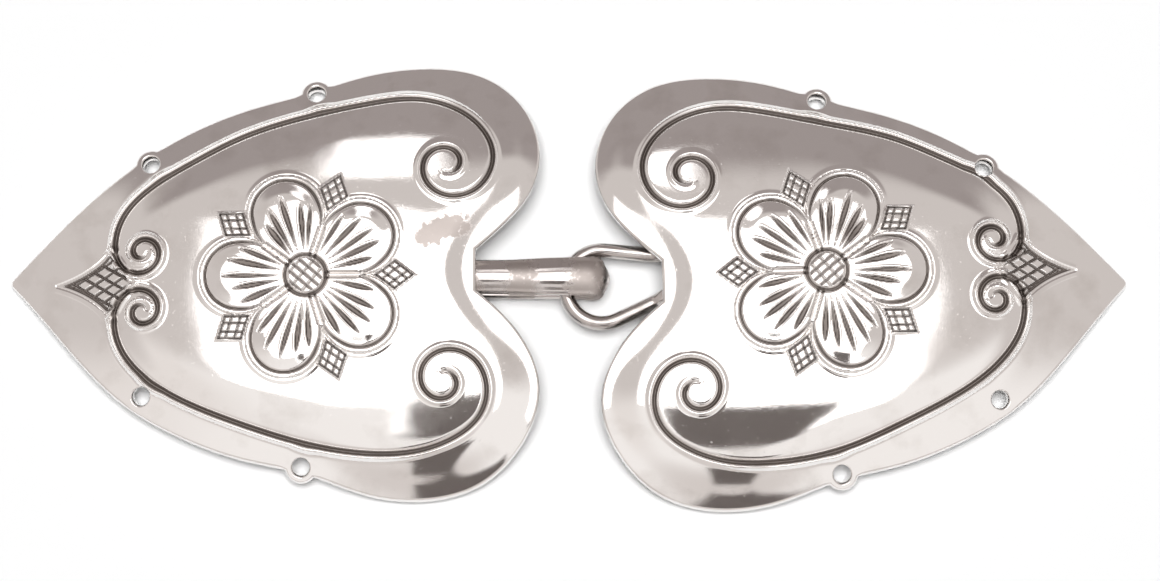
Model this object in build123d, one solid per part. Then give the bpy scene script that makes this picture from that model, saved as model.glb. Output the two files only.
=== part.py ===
from build123d import *
from build123d.topology import SkipClean
from math import cos, exp, hypot, log, pi, radians, sin, sqrt, tan
import os

# A cape clasp of two domed heart plates, tips outward, hooked together in the middle. Millimetres.
# Each heart is drawn in its own plan: u runs from the rosette to the tip, v to the heart's upper side.

# Heart plate
tip_reach = 29.5
lobe_reach = 22.8
half_width = 21.9
plate_wall = 1.1
plate_rise = 4.4
crown_u = -8
dome_bend = 0.5
field_rise = 0.7
field_shoulder = 3.5
crease_radius = 0.5
tip_radius = 0.6

# Sewing lugs
lug_radius = 1.6
lug_hole_radius = 0.85

# Relief, raised on the plates
scroll_width = 0.75
scroll_end_width = 0.45
relief_height = 0.35
petal_reach = 10.4
petal_gap = 0.3
leaf_inner = 6.5
leaf_middle = 8.7
leaf_reach = 10.8
leaf_width = 3.2
button_radius = 2.1
button_height = 0.55

# Hook strap and eye wire
strap_width = 3.6
strap_thickness = 0.9
strap_corner = 1.0
hook_reach = 12.9
hook_foot = 4.2
tongue_tuck = 1.5
wire_diameter = 1.4
eye_play = 0.2
eye_reach = 10.1
eye_radius = 3.6
eye_turn = 3.5
eye_upper_lean = 7
eye_lower_lean = 24
eye_foot_climb = 40
eye_foot_depth = 1.0
eye_bend = 0.6
hook_v = 0.3
eye_v = 0.8

# How the two plates lie
lobe_gap = 5.7
right_turn = 1.5
right_drop = 0.7

# The right plate was cast with its rosette and the ornament at its tip off the heart's own middle
right_shift = (-0.5, 1.2)

# The wall's seam, between the rosette and the volutes
seam_u = 11.6

# How finely the dome's top and the ornament's curves are drawn
sheet_margin = 3.2
sheet_step = 1.5
sheet_tolerance = 0.02
field_points = 160
spiral_points = 9

# Petals, and the leaf points between them
petal_count = 5
half_petal = 180 / petal_count

# The outline's two flanks from the notch round the lobe to the tip: shares of the reach that way
# along u, and of the half width along v.
flank_rows = [
    # (along, upper, lower)
    (-0.845, 0.240, -0.170),
    (-0.950, 0.375, -0.315),
    (-1.000, 0.560, -0.475),
    (-0.930, 0.800, -0.730),
    (-0.750, 0.960, -0.915),
    (-0.480, 1.000, -0.985),
    (-0.240, 0.960, -0.955),
    (0.000, 0.875, -0.870),
    (0.200, 0.795, -0.810),
    (0.410, 0.675, -0.710),
    (0.610, 0.500, -0.555),
    (0.810, 0.260, -0.285),
]
notch_along = -0.725
notch_upper = 0.125
notch_lower = -0.060

# The scroll border along each flank, from the volute beside the tip to the spiral on the lobe
border_rows = [
    # (along, upper, lower)
    (0.607, 0.320, -0.305),
    (0.520, 0.443, -0.438),
    (0.380, 0.557, -0.553),
    (0.230, 0.660, -0.640),
    (0.014, 0.753, -0.740),
    (-0.268, 0.817, -0.790),
    (-0.465, 0.838, -0.781),
    (-0.627, 0.795, -0.726),
    (-0.754, 0.690, -0.612),
]

# The field's edge past the border: round the lobes and the notch, inside the plain flange
field_rows = [
    # (along, upper, lower)
    (-0.240, 0.895, -0.885),
    (-0.480, 0.940, -0.925),
    (-0.715, 0.905, -0.860),
    (-0.875, 0.765, -0.700),
    (-0.943, 0.560, -0.475),
    (-0.895, 0.405, -0.340),
    (-0.785, 0.275, -0.210),
]
field_tip = 0.665
field_notch = -0.667

# Spirals: the eye of each in plan, its outer and inner radius as shares of the half width, the
# angle at its outer end, and its turn in degrees
spiral_rows = [
    # (along, across, outer, inner, start, sweep)
    (-0.600, 0.516, 0.215, 0.045, 169, 470),
    (-0.592, -0.470, 0.200, 0.045, 191, -470),
]
volute_rows = [
    # (along, across, outer, inner, start, sweep)
    (0.538, 0.142, 0.142, 0.030, 23, -540),
    (0.538, -0.128, 0.142, 0.030, -23, 540),
]

# The hatched kite between the volutes: its outer point, a point on each of its slightly hollow outer
# sides, its corners and its heel
kite_rows = [
    # (along, across)
    (0.832, 0.000),
    (0.725, 0.063),
    (0.652, 0.150),
    (0.575, 0.000),
]

# Lug centres in plan
lug_rows = [
    # (along, across)
    (-0.030, 0.855),
    (0.525, 0.528),
    (0.015, -0.832),
    (0.545, -0.520),
]

# Where the lobes are widest, which rests on the ground with the tip
side_along = -0.48
side_across = 1.0


def spot(along, across):
    reach = tip_reach if along > 0 else lobe_reach
    return (along * reach, across * half_width)


# The dome falls from its crown, gently and then faster, and the tip and the lobes' sides lie lowest.
lobe_side = spot(side_along, side_across)
dome_length = tip_reach - crown_u
dome_breadth = lobe_side[1] / sqrt(1 - ((lobe_side[0] - crown_u) / dome_length) ** 2)


def field_edge():
    # The field's edge as one closed spline, sampled evenly.
    border = [row for row in border_rows if row[0] > 0]
    upper = [spot(a, up) for a, up, low in border + field_rows]
    lower = [spot(a, low) for a, up, low in border + field_rows]
    loop = [spot(field_tip, 0)] + upper + [spot(field_notch, (notch_upper + notch_lower) / 2)]
    curve = Spline(*loop, *lower[::-1], periodic=True)
    points = [curve @ (i / field_points) for i in range(field_points)]
    return [(point.X, point.Y) for point in points]


field_loop = field_edge()


def depth_in_field(u, v):
    # Distance from the field's edge, positive inside it.
    nearest = tip_reach
    inside = False
    for (u0, v0), (u1, v1) in zip(field_loop, field_loop[1:] + field_loop[:1]):
        du = u1 - u0
        dv = v1 - v0
        t = ((u - u0) * du + (v - v0) * dv) / (du * du + dv * dv)
        t = min(1, max(0, t))
        nearest = min(nearest, hypot(u - u0 - t * du, v - v0 - t * dv))
        if (v0 > v) != (v1 > v) and u < u0 + (v - v0) / dv * du:
            inside = not inside
    return nearest if inside else -nearest


def way_down(u, v):
    # 0 at the crown, 1 at the tip and the lobes' sides.
    return ((u - crown_u) / dome_length) ** 2 + (v / dome_breadth) ** 2


def top_height(u, v):
    out = way_down(u, v)
    fall = plate_rise * (out + dome_bend * out**2) / (1 + dome_bend)
    depth = depth_in_field(u, v)
    depth = (depth + hypot(depth, crease_radius)) / 2
    share = min(1, depth / field_shoulder)
    field = field_rise * (1 - (1 - share) ** 2)
    return plate_wall + plate_rise - fall + field


def top_sheet():
    # The top of the plate as one spline face, a little wider than the heart and its lugs.
    u_start = -lobe_reach - sheet_margin
    v_start = -half_width - sheet_margin
    length = tip_reach + lobe_reach + 2 * sheet_margin
    width = 2 * (half_width + sheet_margin)
    u_count = round(length / sheet_step)
    v_count = round(width / sheet_step)
    rows = []
    for j in range(v_count + 1):
        v = v_start + width * j / v_count
        row = []
        for i in range(u_count + 1):
            u = u_start + length * i / u_count
            row.append((u, v, top_height(u, v)))
        rows.append(row)
    return Face.make_surface_from_array_of_points(rows, tol=sheet_tolerance, min_deg=3, max_deg=3)


sheet = top_sheet()
down = (0, 0, -1)


def slab(above, thickness):
    # What lies under the plate's top, raised by above, down to the given thickness.
    return extrude(Pos(0, 0, above) * sheet, amount=thickness, dir=down)


def column(sketch):
    return extrude(sketch, amount=3 * (plate_rise + field_rise), both=True)


def bar(x0, x1, y0, y1):
    return Pos((x0 + x1) / 2, (y0 + y1) / 2) * Rectangle(x1 - x0, y1 - y0)


def outline():
    corners = [spot(notch_along, notch_upper), spot(notch_along, notch_lower)]
    upper = [corners[0]] + [spot(a, up) for a, up, low in flank_rows] + [(tip_reach, 0)]
    lower = [corners[1]] + [spot(a, low) for a, up, low in flank_rows] + [(tip_reach, 0)]
    heart = make_face([Spline(*upper), Spline(*lower), Line(*corners)])
    tip = heart.vertices().sort_by(Axis.X)[-1]
    heart = fillet(tip, tip_radius)
    for along, across in lug_rows:
        heart += Pos(*spot(along, across)) * Circle(lug_radius)
    return heart


def spiral(row):
    along, across, outer, inner, start, sweep = row
    u0, v0 = spot(along, across)
    points = []
    for i in range(spiral_points + 1):
        share = i / spiral_points
        radius = half_width * outer * exp(share * log(inner / outer))
        angle = radians(start + sweep * share)
        points.append((u0 + radius * cos(angle), v0 + radius * sin(angle)))
    return points


def ribbon(points):
    # A band along a spline, narrower at its two ends, its sides in short runs.
    path = Spline(*points)
    runs = len(points)
    count = 3 * runs
    left = []
    right = []
    for i in range(count + 1):
        t = i / count
        centre = path @ t
        way = path % t
        half = (scroll_end_width + (scroll_width - scroll_end_width) * sin(pi * t)) / 2
        left.append((centre.X - half * way.Y, centre.Y + half * way.X))
        right.append((centre.X + half * way.Y, centre.Y - half * way.X))
    edges = [Line(left[0], right[0]), Line(left[-1], right[-1])]
    for side in (Spline(*left), Spline(*right)):
        edges += [side.trim(i / runs, (i + 1) / runs) for i in range(runs)]
    return make_face(edges)


def scrollwork(shift):
    # The two scrolls. The shift moves their volutes, and the borders less and less towards the lobes.
    sketches = []
    for side in (0, 1):
        border = []
        for row in border_rows:
            u, v = spot(row[0], row[1 + side])
            share = max(0, row[0] / border_rows[0][0])
            border.append((u + share * shift[0], v + share * shift[1]))
        volute = [(u + shift[0], v + shift[1]) for u, v in spiral(volute_rows[side])]
        lobe = spiral(spiral_rows[side])
        sketches.append(ribbon(volute[::-1] + border + lobe))
    return sketches


def kite():
    tip, waist, corner, heel = [spot(along, across) for along, across in kite_rows]
    lower_waist = (waist[0], -waist[1])
    lower_corner = (corner[0], -corner[1])
    sides = [
        Spline(tip, waist, corner),
        Line(corner, heel),
        Line(heel, lower_corner),
        Spline(lower_corner, lower_waist, tip),
    ]
    return make_face(sides)


def petal(direction):
    lobe = petal_reach * sin(radians(half_petal)) / (1 + sin(radians(half_petal)))
    middle = petal_reach - lobe
    edge = middle * cos(radians(half_petal)) ** 2
    side = edge * tan(radians(half_petal))
    blade = Pos(middle, 0) * Circle(lobe) + Polygon((0, 0), (edge, -side), (edge, side), align=None)
    apex = petal_gap / 2 / sin(radians(half_petal))
    wide = petal_reach * tan(radians(half_petal))
    wedge = Polygon((apex, 0), (petal_reach + apex, -wide), (petal_reach + apex, wide), align=None)
    blade = (blade & wedge) - Circle(button_radius + petal_gap)
    return Rot(0, 0, direction) * blade


def leaf(direction):
    half = leaf_width / 2
    points = [(leaf_inner, 0), (leaf_middle, -half), (leaf_reach, 0), (leaf_middle, half)]
    return Rot(0, 0, direction) * Polygon(*points, align=None)


def rosette():
    # The petals and the leaf points behind them, one raised shape.
    shape = petal(0)
    for i in range(petal_count):
        shape += petal(2 * half_petal * i)
        shape += leaf(2 * half_petal * i + half_petal)
    return shape


def lug_plane(along, across):
    # The plane of a lug's flat, square to the dome there, at the middle of the wall.
    u, v = spot(along, across)
    z = top_height(u, v) - plate_wall / 2
    steepness = plate_rise * (1 + 2 * dome_bend * way_down(u, v)) / (1 + dome_bend)
    slope_u = 2 * steepness * (u - crown_u) / dome_length**2
    slope_v = 2 * steepness * v / dome_breadth**2
    return Plane(origin=(u, v, z), z_dir=(slope_u, slope_v, 1))


def heart_plate(shift):
    # The wall in two lengths that meet at a seam, then the relief, moved by the shift, and the holes.
    wall = slab(0, plate_wall) & column(outline())
    tip_length = bar(seam_u, 2 * tip_reach, -2 * half_width, 2 * half_width)
    lobe_length = bar(-2 * lobe_reach, seam_u, -2 * half_width, 2 * half_width)
    bed = slab(relief_height, relief_height + plate_wall / 2)
    button_bed = slab(button_height, button_height + plate_wall / 2)
    border = Pos(*shift) * kite()
    for band in scrollwork(shift):
        border += band
    with SkipClean():
        plate = (wall & column(tip_length)) + (wall & column(lobe_length))
        plate += bed & column(border)
        plate += bed & column(Pos(*shift) * rosette())
        plate += button_bed & column(Pos(*shift) * Circle(button_radius))
        for along, across in lug_rows:
            plate -= lug_plane(along, across) * Cylinder(lug_hole_radius, 6 * plate_wall)
    return plate


# Heights at the notch: the strap hangs under the wall there, and the wire runs inside its fold.
notch_u = notch_along * lobe_reach
notch_v = (notch_upper + notch_lower) / 2 * half_width
strap_top = top_height(notch_u, notch_v) - plate_wall
wire_height = strap_top - strap_thickness - eye_play - wire_diameter / 2
tongue_top = wire_height - wire_diameter / 2 - eye_play


def hook():
    # The strap runs out under the notch, folds back on itself and ends as a tongue under the plate.
    end = notch_u - hook_reach
    foot = notch_u + hook_foot
    under = strap_top - strap_thickness
    bottom = tongue_top - strap_thickness
    fold = (strap_top - bottom) / 2
    axis = Pos(end + fold, bottom + fold)
    side = bar(end + fold, foot, bottom, strap_top) + axis * Circle(fold)
    side -= bar(end + fold, foot, tongue_top, under) + axis * Circle(fold - strap_thickness)
    side -= bar(notch_u + tongue_tuck, foot, bottom, under)
    strap = extrude(Plane.XZ * side, amount=2 * strap_width, both=True)
    plan = bar(end, foot, -strap_width / 2, strap_width / 2)
    corners = plan.vertices().sort_by(Axis.X)[:2]
    plan = fillet(corners, strap_corner)
    strap &= column(plan)
    bed_start = notch_u + plate_wall / 2
    bed = bar(bed_start, foot, -strap_width / 2, strap_width / 2)
    bed = Pos(0, hook_v, under) * extrude(bed, amount=plate_rise)
    return Pos(0, hook_v, 0) * strap + (bed & slab(-plate_wall / 2, 2 * plate_rise))


def foot_end(start, way):
    # Where a wire foot that climbs from start, in the plan direction way, sinks into the wall.
    climb = tan(radians(eye_foot_climb))
    run = 0
    while True:
        u = start[0] + run * way[0]
        v = start[1] + run * way[1]
        z = wire_height + run * climb
        if z > top_height(u, v) - eye_foot_depth:
            return (u, v, z)
        run += plate_wall / 20


def eye():
    # An oval loop of wire: a round outer end, two legs that draw in to the notch and climb to the wall.
    outer = notch_u - eye_reach + wire_diameter / 2
    middle = outer + eye_radius
    feet = []
    shoulders = []
    for sign, lean in ((1, eye_upper_lean), (-1, eye_lower_lean)):
        lean = radians(lean)
        reach = eye_radius / cos(lean)
        shoulder = eye_v + sign * (reach + eye_radius * tan(lean))
        bend = notch_u - eye_bend
        bend_v = eye_v + sign * (reach - (bend - middle) * tan(lean))
        way = (cos(lean), -sign * sin(lean))
        shoulders.append((outer, shoulder, wire_height))
        feet.append([(bend, bend_v, wire_height), foot_end((bend, bend_v), way)])
    upper, lower = feet
    points = [upper[1], upper[0], shoulders[0], shoulders[1], lower[0], lower[1]]
    path = FilletPolyline(*points, radius=[wire_diameter, eye_turn, eye_turn, wire_diameter])
    start = Plane(origin=path @ 0, z_dir=path % 0)
    return sweep(start * Circle(wire_diameter / 2), path=path)


def clasp():
    left_pieces = [heart_plate((0, 0)), hook()]
    right_pieces = [heart_plate(right_shift), eye()]
    with SkipClean():
        left = mirror(left_pieces[0] + left_pieces[1], about=Plane.YZ)
        right = right_pieces[0] + right_pieces[1]
    stand = lobe_gap / 2 + lobe_reach
    left = Pos(-stand, right_drop / 2, 0) * left
    right = Pos(stand, -right_drop / 2, 0) * Rot(0, 0, right_turn) * right
    box = Compound([left, right]).bounding_box()
    home = Pos(-box.center().X, -box.center().Y, -box.min.Z)
    return {"heart_with_hook": home * left, "heart_with_eye": home * right}


if __name__ == "__main__":
    os.makedirs("parts", exist_ok=True)
    for name, piece in clasp().items():
        piece = piece.solid()
        piece.label = name
        export_step(piece, f"parts/{name}.step")
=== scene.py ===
import bpy
import bmesh
import numpy as np
from math import cos, log, pi, radians, sin, tan
from mathutils import Matrix, Vector


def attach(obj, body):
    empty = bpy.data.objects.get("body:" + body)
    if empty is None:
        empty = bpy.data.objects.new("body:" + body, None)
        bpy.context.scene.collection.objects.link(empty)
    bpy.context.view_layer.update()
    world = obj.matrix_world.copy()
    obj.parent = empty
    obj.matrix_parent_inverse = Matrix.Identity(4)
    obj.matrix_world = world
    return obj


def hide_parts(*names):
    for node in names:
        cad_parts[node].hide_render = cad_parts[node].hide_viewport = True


# Cape clasp, two cast pewter heart plates with a strap hook and a wire eye.
# Shapes are drawn in millimetres and made metres at the end. A heart is drawn in its own plan,
# where u runs from the rosette to the tip and v to the heart's upper side.

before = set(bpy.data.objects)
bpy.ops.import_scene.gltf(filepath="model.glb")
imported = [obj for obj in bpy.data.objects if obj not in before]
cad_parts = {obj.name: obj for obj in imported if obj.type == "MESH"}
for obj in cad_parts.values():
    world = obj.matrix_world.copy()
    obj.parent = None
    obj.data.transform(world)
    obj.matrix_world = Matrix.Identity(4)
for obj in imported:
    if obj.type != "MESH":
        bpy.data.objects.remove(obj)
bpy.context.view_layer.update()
mm = 0.001


# small helpers

def ease(x):
    x = np.clip(x, 0, 1)
    return x * x * (3 - 2 * x)


def groove(x, width):
    # 1 in the middle of a line, 0 away from it
    return np.exp(-((x / width) ** 2))


def smoothPath(points, count, closed=False):
    # a cubic spline through the points, sampled evenly along its length
    perSpan = 40
    pts = np.array(points, float)
    if closed:
        pts = np.vstack([pts, pts[:1]])
    n = len(pts)
    gaps = np.linalg.norm(np.diff(pts, axis=0), axis=1)
    at = np.concatenate([[0], np.cumsum(gaps)])
    system = np.zeros((n, n))
    right = np.zeros((n, 2))
    for i in range(1, n - 1):
        a, b = gaps[i - 1], gaps[i]
        system[i, i - 1:i + 2] = b, 2 * (a + b), a
        right[i] = 3 * (b / a * (pts[i] - pts[i - 1]) + a / b * (pts[i + 1] - pts[i]))
    if closed:
        a, b = gaps[-1], gaps[0]
        system[0, [n - 2, 0, 1]] = b, 2 * (a + b), a
        right[0] = 3 * (b / a * (pts[0] - pts[n - 2]) + a / b * (pts[1] - pts[0]))
        system[n - 1, [0, n - 1]] = 1, -1
    else:
        for end, pick in ((0, slice(0, 4)), (n - 1, slice(n - 4, n))):
            system[end, end] = 1
            for k in (0, 1):
                cubic = np.polyfit(at[pick], pts[pick, k], 3)
                right[end, k] = np.polyval(np.polyder(cubic), at[end])
    slope = np.linalg.solve(system, right)
    t = np.linspace(0, 1, perSpan, endpoint=False)[:, None]
    fine = []
    for i in range(n - 1):
        h = gaps[i]
        fine.append((2 * t ** 3 - 3 * t ** 2 + 1) * pts[i] + (t ** 3 - 2 * t ** 2 + t) * h * slope[i]
                    + (3 * t ** 2 - 2 * t ** 3) * pts[i + 1] + (t ** 3 - t ** 2) * h * slope[i + 1])
    fine = np.vstack(fine + [pts[-1:]])
    run = np.concatenate([[0], np.cumsum(np.linalg.norm(np.diff(fine, axis=0), axis=1))])
    stops = np.linspace(0, run[-1], count + (1 if closed else 0))
    path = np.stack([np.interp(stops, run, fine[:, k]) for k in (0, 1)], axis=1)
    return path[:-1] if closed else path


def follow(path, u, v, reach, closed=False):
    # distance to a path, side of it (1 left, -1 right) and distance run along it, for points
    # within reach; the rest say reach, 1 and 0. Points are sorted out by every sixth of the path first
    skip, roughBatch, fineBatch = 6, 20000, 8000
    a = path if closed else path[:-1]
    b = np.roll(path, -1, 0) if closed else path[1:]
    way = b - a
    size = np.hypot(way[:, 0], way[:, 1])
    run = np.concatenate([[0], np.cumsum(size)[:-1]])
    away = np.full(len(u), float(reach))
    side = np.ones(len(u))
    along = np.zeros(len(u))
    rough = path[::skip]
    slack = reach + (skip + 1) / 2 * size.max()
    near = []
    for part in np.array_split(np.arange(len(u)), 1 + len(u) // roughBatch):
        d = np.hypot(u[part, None] - rough[:, 0], v[part, None] - rough[:, 1]).min(1)
        near.append(part[d < slack])
    near = np.concatenate(near)
    for part in np.array_split(near, 1 + len(near) // fineBatch):
        if len(part) == 0:
            continue
        du = u[part, None] - a[:, 0]
        dv = v[part, None] - a[:, 1]
        t = np.clip((du * way[:, 0] + dv * way[:, 1]) / size ** 2, 0, 1)
        d = np.hypot(du - t * way[:, 0], dv - t * way[:, 1])
        best = d.argmin(1)
        row = np.arange(len(part))
        away[part] = np.minimum(d[row, best], reach)
        cross = way[best, 0] * dv[row, best] - way[best, 1] * du[row, best]
        side[part] = np.where(cross >= 0, 1, -1)
        along[part] = run[best] + t[row, best] * size[best]
    return away, side, along


def inside(loop, u, v):
    # which points lie inside a closed path
    result = np.zeros(len(u), bool)
    for (u0, v0), (u1, v1) in zip(loop, np.roll(loop, -1, 0)):
        if v0 != v1:
            result ^= ((v0 > v) != (v1 > v)) & (u < u0 + (v - v0) / (v1 - v0) * (u1 - u0))
    return result


# heart plate

plate = {
    "tipReach": 29.5, "lobeReach": 22.8, "halfWidth": 21.9, "wall": 1.1,
    "rise": 4.4, "crownU": -8, "bend": 0.5, "fieldRise": 0.7, "fieldShoulder": 3.5, "crease": 0.5,
    "rimRounding": 0.28, "tipRadius": 0.6, "outlinePoints": 230, "fieldPoints": 160,
    "lugRadius": 1.6, "holeRadius": 0.85, "countersink": 0.2, "lugSides": 40, "holeSides": 36,
    # holes lean with the dome; the lean ends this far outside a hole and fades over this length
    "leanReach": 1.4, "leanFade": 1.3,
    "lobeGap": 5.7, "rightTurn": 1.5, "rightDrop": 0.7,
    # the mesh's cells, how far its grid keeps from the blank's faces, and the smallest edge kept
    "cell": 0.7, "inset": 0.004, "sliver": 0.0005,
    # the grid of the field's heights: its step and how far it reaches past the heart
    "fieldStep": 0.7, "fieldMargin": 6,
    # shares of the reach along u and of the half width along v
    "flank": [(-.845, .240, -.170), (-.950, .375, -.315), (-1, .560, -.475), (-.930, .800, -.730),
              (-.750, .960, -.915), (-.480, 1, -.985), (-.240, .960, -.955), (0, .875, -.870),
              (.200, .795, -.810), (.410, .675, -.710), (.610, .500, -.555), (.810, .260, -.285)],
    "notch": (-.725, .125, -.060),
    "border": [(.607, .320, -.305), (.520, .443, -.438), (.380, .557, -.553), (.230, .660, -.640),
               (.014, .753, -.740), (-.268, .817, -.790), (-.465, .838, -.781), (-.627, .795, -.726),
               (-.754, .690, -.612)],
    "field": [(-.240, .895, -.885), (-.480, .940, -.925), (-.715, .905, -.860), (-.875, .765, -.700),
              (-.943, .560, -.475), (-.895, .405, -.340), (-.785, .275, -.210)],
    "fieldTip": .665, "fieldNotch": -.667,
    "lobeSide": (-.48, 1),
    "lugs": [(-.030, .855), (.525, .528), (.015, -.832), (.545, -.520)],
}


def spot(along, across):
    reach = plate["tipReach"] if along > 0 else plate["lobeReach"]
    return (along * reach, across * plate["halfWidth"])


def heartLoop():
    # the outline without its lugs, its tip rounded
    notch = [spot(plate["notch"][0], plate["notch"][i]) for i in (1, 2)]
    tip = (plate["tipReach"], 0)
    flanks = []
    for i in (0, 1):
        points = [notch[i]] + [spot(row[0], row[1 + i]) for row in plate["flank"]] + [tip]
        path = smoothPath(points, plate["outlinePoints"])
        flanks.append(path[np.hypot(*(path - tip).T) > plate["tipRadius"]])
    t = np.linspace(0, 1, 7)[1:-1, None]
    rounding = (1 - t) ** 2 * flanks[0][-1] + 2 * t * (1 - t) * np.array(tip) + t ** 2 * flanks[1][-1]
    return np.vstack([flanks[0], rounding, flanks[1][::-1]])


def fieldLoop():
    # the raised field's edge, which runs under the scroll border
    border = [row for row in plate["border"] if row[0] > 0]
    sides = [[spot(row[0], row[1 + i]) for row in border + plate["field"]] for i in (0, 1)]
    middle = (plate["notch"][1] + plate["notch"][2]) / 2
    tip, notch = spot(plate["fieldTip"], 0), spot(plate["fieldNotch"], middle)
    return smoothPath([tip] + sides[0] + [notch] + sides[1][::-1], plate["fieldPoints"], closed=True)


class Dome:
    # the smooth top of the plate: it falls from a crown, gently and then faster, and carries the
    # raised field, which is kept as a soft grid of heights

    def __init__(self):
        side = spot(*plate["lobeSide"])
        self.length = plate["tipReach"] - plate["crownU"]
        self.breadth = side[1] / (1 - ((side[0] - plate["crownU"]) / self.length) ** 2) ** 0.5
        self.step = plate["fieldStep"]
        margin = plate["fieldMargin"]
        self.u0 = -plate["lobeReach"] - margin
        self.v0 = -plate["halfWidth"] - margin
        self.nu = int((plate["lobeReach"] + plate["tipReach"] + 2 * margin) / self.step) + 1
        self.nv = int((2 * plate["halfWidth"] + 2 * margin) / self.step) + 1
        u, v = np.meshgrid(self.u0 + self.step * np.arange(self.nu),
                           self.v0 + self.step * np.arange(self.nv), indexing="ij")
        loop = fieldLoop()
        everywhere = 99
        away = follow(loop, u.ravel(), v.ravel(), everywhere, closed=True)[0]
        away = np.where(inside(loop, u.ravel(), v.ravel()), away, -away)
        # how far in from the edge, with the crease along the edge softened
        depth = (away + np.hypot(away, plate["crease"])) / 2
        share = np.minimum(1, depth / plate["fieldShoulder"])
        field = (plate["fieldRise"] * (1 - (1 - share) ** 2)).reshape(u.shape)
        for axis in (0, 1):
            field = (np.roll(field, 1, axis) + 2 * field + np.roll(field, -1, axis)) / 4
        self.field = field

    def height(self, u, v):
        # a cubic B-spline over the grid, so that reflections run smoothly
        a = (u - self.u0) / self.step
        b = (v - self.v0) / self.step
        i = np.clip(a.astype(int), 1, self.nu - 3)
        j = np.clip(b.astype(int), 1, self.nv - 3)
        s, t = a - i, b - j
        total = 0
        for k, wu in enumerate(splineWeights(s)):
            for m, wv in enumerate(splineWeights(t)):
                total = total + wu * wv * self.field[i + k - 1, j + m - 1]
        out = self.wayDown(u, v)
        fall = plate["rise"] * (out + plate["bend"] * out ** 2) / (1 + plate["bend"])
        return plate["wall"] + plate["rise"] - fall + total

    def wayDown(self, u, v):
        # 0 at the crown, 1 at the tip and at the lobes' sides
        return ((u - plate["crownU"]) / self.length) ** 2 + (v / self.breadth) ** 2

    def slope(self, u, v):
        # how fast the dome alone falls along u and v
        steepness = 2 * plate["rise"] * (1 + 2 * plate["bend"] * self.wayDown(u, v)) / (1 + plate["bend"])
        return steepness * (u - plate["crownU"]) / self.length ** 2, steepness * v / self.breadth ** 2


def splineWeights(t):
    # the shares of four neighbouring heights, t being the way from the second to the third
    return [(1 - t) ** 3 / 6, (3 * t ** 3 - 6 * t ** 2 + 4) / 6,
            (-3 * t ** 3 + 3 * t ** 2 + 3 * t + 1) / 6, t ** 3 / 6]


dome = Dome()
print("plate: dome ready")


# ornament, raised and engraved

scroll = {
    "reach": 2, "points": 420,
    "ridge": 0.32, "ridgeOff": -0.34, "ridgeWidth": 0.24, "cut": 0.34, "cutOff": 0.16, "cutWidth": 0.23,
    # both ends taper over this length, down to these shares of the width and the strength
    "endTaper": 2.0, "endWidth": 0.55, "endStrength": 0.35,
    # the ridge is lower by this share along the lobe's spiral, from these shares of the way
    "spiralLow": 0.55, "spiralStart": 0.58, "spiralFade": 0.1,
    # centre along and across, outer and inner radius as shares of the half width, start angle, turn
    "spirals": [(-.600, .516, .215, .045, 169, 470), (-.592, -.470, .200, .045, 191, -470)],
    "volutes": [(.538, .142, .142, .030, 23, -540), (.538, -.128, .142, .030, -23, 540)],
}
# how far the castings' ornament sits off the heart's own middle: rosette, kite and scroll ends
leftShift = {"rosette": (0, 0), "kite": (0, -0.5), "scroll": (0.2, -0.5)}
rightShift = {"rosette": (-0.5, 1.2), "kite": (-0.5, 1.2), "scroll": (0.2, 1.1)}
kite = {
    "tip": (.832, 0), "waist": (.725, .063), "corner": (.652, .150), "heel": (.575, 0),
    "reach": 3, "rise": 0.22, "cut": 0.22, "hatch": 1.0, "hatchWidth": 0.13,
    "contourIn": 0.3, "contourWidth": 0.17, "lip": 0.16, "lipOut": 0.28, "lipWidth": 0.22,
}
rosette = {
    "reach": 10.4, "edge": 13, "petals": 5, "gap": 0.3, "rise": 0.35, "seed": 4,
    # petals swell and have a rim and a contour line in their outer part only
    "outerStart": 4.5, "outerFade": 3.2, "swell": 0.16, "swellWidth": 1.6,
    "rimStart": 0.12, "rimWidth": 0.46, "contour": 0.24, "contourWidth": 0.14,
    "lip": 0.06, "lipOff": 0.2,
    # veins: angles and ends in each petal, then the hand's slips in degrees, length and share of width
    "veins": (-22.5, -11.5, 0, 11.5, 22.5), "veinEnd": (6.9, 7.7, 8.2, 7.7, 6.9),
    "veinStart": 2.5, "veinWidth": 0.22, "veinCut": 0.24, "veinSlips": (1.1, 0.28, 0.12),
    "veinLip": 0.045, "veinLipOff": 0.12, "veinLipWidth": 0.08,
    # the button, its ring and its two sets of hatching: pitch, width, start, strength
    "buttonRadius": 2.1, "buttonRise": 0.5, "buttonSwell": 0.05, "buttonHatch": 0.16,
    "ring": 0.34, "ringIn": 0.12, "ringWidth": 0.17, "hatchTurn": 40, "hatchReach": 1.78,
    "hatching": [(0.75, 0.1125, 0.5, 1), (1.1, 0.11, 0.2, 0.8)],
    # the leaf points between the petals
    "leafInner": 6.5, "leafMiddle": 8.7, "leafReach": 10.8, "leafWidth": 3.2, "leafRise": 0.3,
    "leafCut": 0.26, "leafHatch": 0.85, "leafLine": 0.085, "leafContourIn": 0.2, "leafContour": 0.09,
}


def spiral(row, count=9):
    # points on a spiral whose radius shrinks by the same share at every step
    along, across, outer, inner, start, sweep = row
    share = np.linspace(0, 1, count + 1)
    radius = plate["halfWidth"] * outer * np.exp(share * log(inner / outer))
    angle = np.radians(start + sweep * share)
    u0, v0 = spot(along, across)
    return np.stack([u0 + radius * np.cos(angle), v0 + radius * np.sin(angle)], axis=1)


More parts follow.
